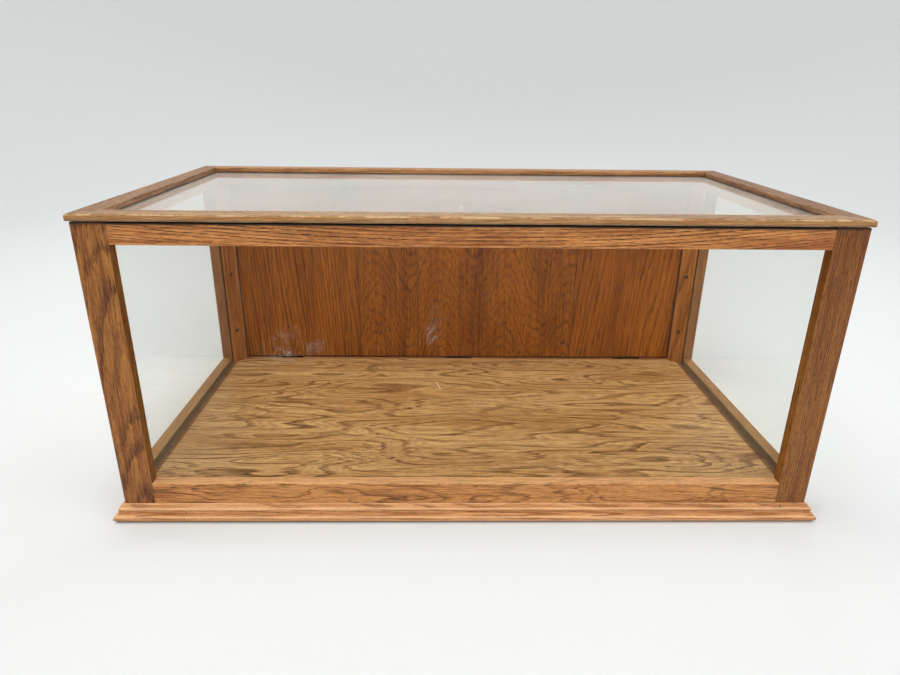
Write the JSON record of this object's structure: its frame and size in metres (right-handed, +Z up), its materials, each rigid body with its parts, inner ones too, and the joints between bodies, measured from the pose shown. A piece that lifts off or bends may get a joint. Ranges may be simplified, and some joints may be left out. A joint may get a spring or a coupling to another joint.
{
  "type": "glazed display case",
  "caption": "Countertop display case: oak frame, glass front, sides and top, oak floor, beaded base, and a rear door that drops down on butt hinges.",
  "frame": {"origin": "bottom centre of the box round the whole case with its door shut", "axes": "+X to the right along the long side, -Y out of the glazed front, +Y out of the rear door, +Z up"},
  "size_m": [0.9404, 0.4993, 0.409],
  "materials": {
    "oak_frame": "satin varnish on golden oak",
    "oak_top": "worn satin varnish on oak",
    "oak_floor": "satin varnish on oak veneer",
    "oak_door": "satin varnish on oak veneer",
    "oak_moulding": "satin varnish on oak",
    "plain_oak": "unfinished oak",
    "clear_glass": "clear, faintly green",
    "black_steel": "blackened",
    "dark_steel": "darkened with age",
    "zinc_steel": "zinc plated",
    "brown_plastic": "matte"
  },
  "bodies": {
    "case": {"front_left_post": "oak_frame", "front_right_post": "oak_frame", "rear_left_post": "oak_frame", "rear_right_post": "oak_frame", "front_upper_rail": "oak_frame", "front_lower_rail": "oak_frame", "rear_upper_rail": "oak_frame", "rear_sill": "oak_frame", "left_upper_rail": "oak_frame", "right_upper_rail": "oak_frame", "left_lower_rail": "oak_frame", "right_lower_rail": "oak_frame", "top_frame_front": "oak_top", "top_frame_back": "oak_top", "top_frame_left": "oak_top", "top_frame_right": "oak_top", "top_glass": "clear_glass", "front_glass": "clear_glass", "left_glass": "clear_glass", "right_glass": "clear_glass", "front_glass_stop": "plain_oak", "left_glass_stop": "plain_oak", "right_glass_stop": "plain_oak", "rear_left_corner_cleat": "oak_frame", "rear_right_corner_cleat": "oak_frame", "floor_panel": "oak_floor", "floor_bearer_front": "plain_oak", "floor_bearer_back": "plain_oak", "floor_bearer_left": "plain_oak", "floor_bearer_right": "plain_oak", "base_moulding_front": "oak_moulding", "base_moulding_left": "oak_moulding", "base_moulding_right": "oak_moulding", "catch_left": "brown_plastic", "catch_right": "brown_plastic", "cleat_screw_left_lower": "dark_steel", "cleat_screw_left_middle": "dark_steel", "cleat_screw_left_upper": "dark_steel", "cleat_screw_right_lower": "dark_steel", "cleat_screw_right_middle": "dark_steel", "cleat_screw_right_upper": "dark_steel", "hinge_left_frame_leaf": "black_steel", "hinge_left_pin": "black_steel", "hinge_middle_frame_leaf": "black_steel", "hinge_middle_pin": "black_steel", "hinge_right_frame_leaf": "black_steel", "hinge_right_pin": "black_steel"},
    "door": {"rear_door": "oak_door", "door_knob": "oak_frame", "door_knob_screw": "zinc_steel", "strike_plate_left": "zinc_steel", "strike_plate_right": "zinc_steel", "hinge_left_door_leaf": "black_steel", "hinge_middle_door_leaf": "black_steel", "hinge_right_door_leaf": "black_steel"}
  },
  "joints": [
    {"name": "rear_door_hinge", "type": "hinge", "parent": "case", "child": "door", "pos_m": [0, 0.23255, 0.0459], "axis": [-1, 0, 0], "range_deg": [0, 95]}
  ]
}
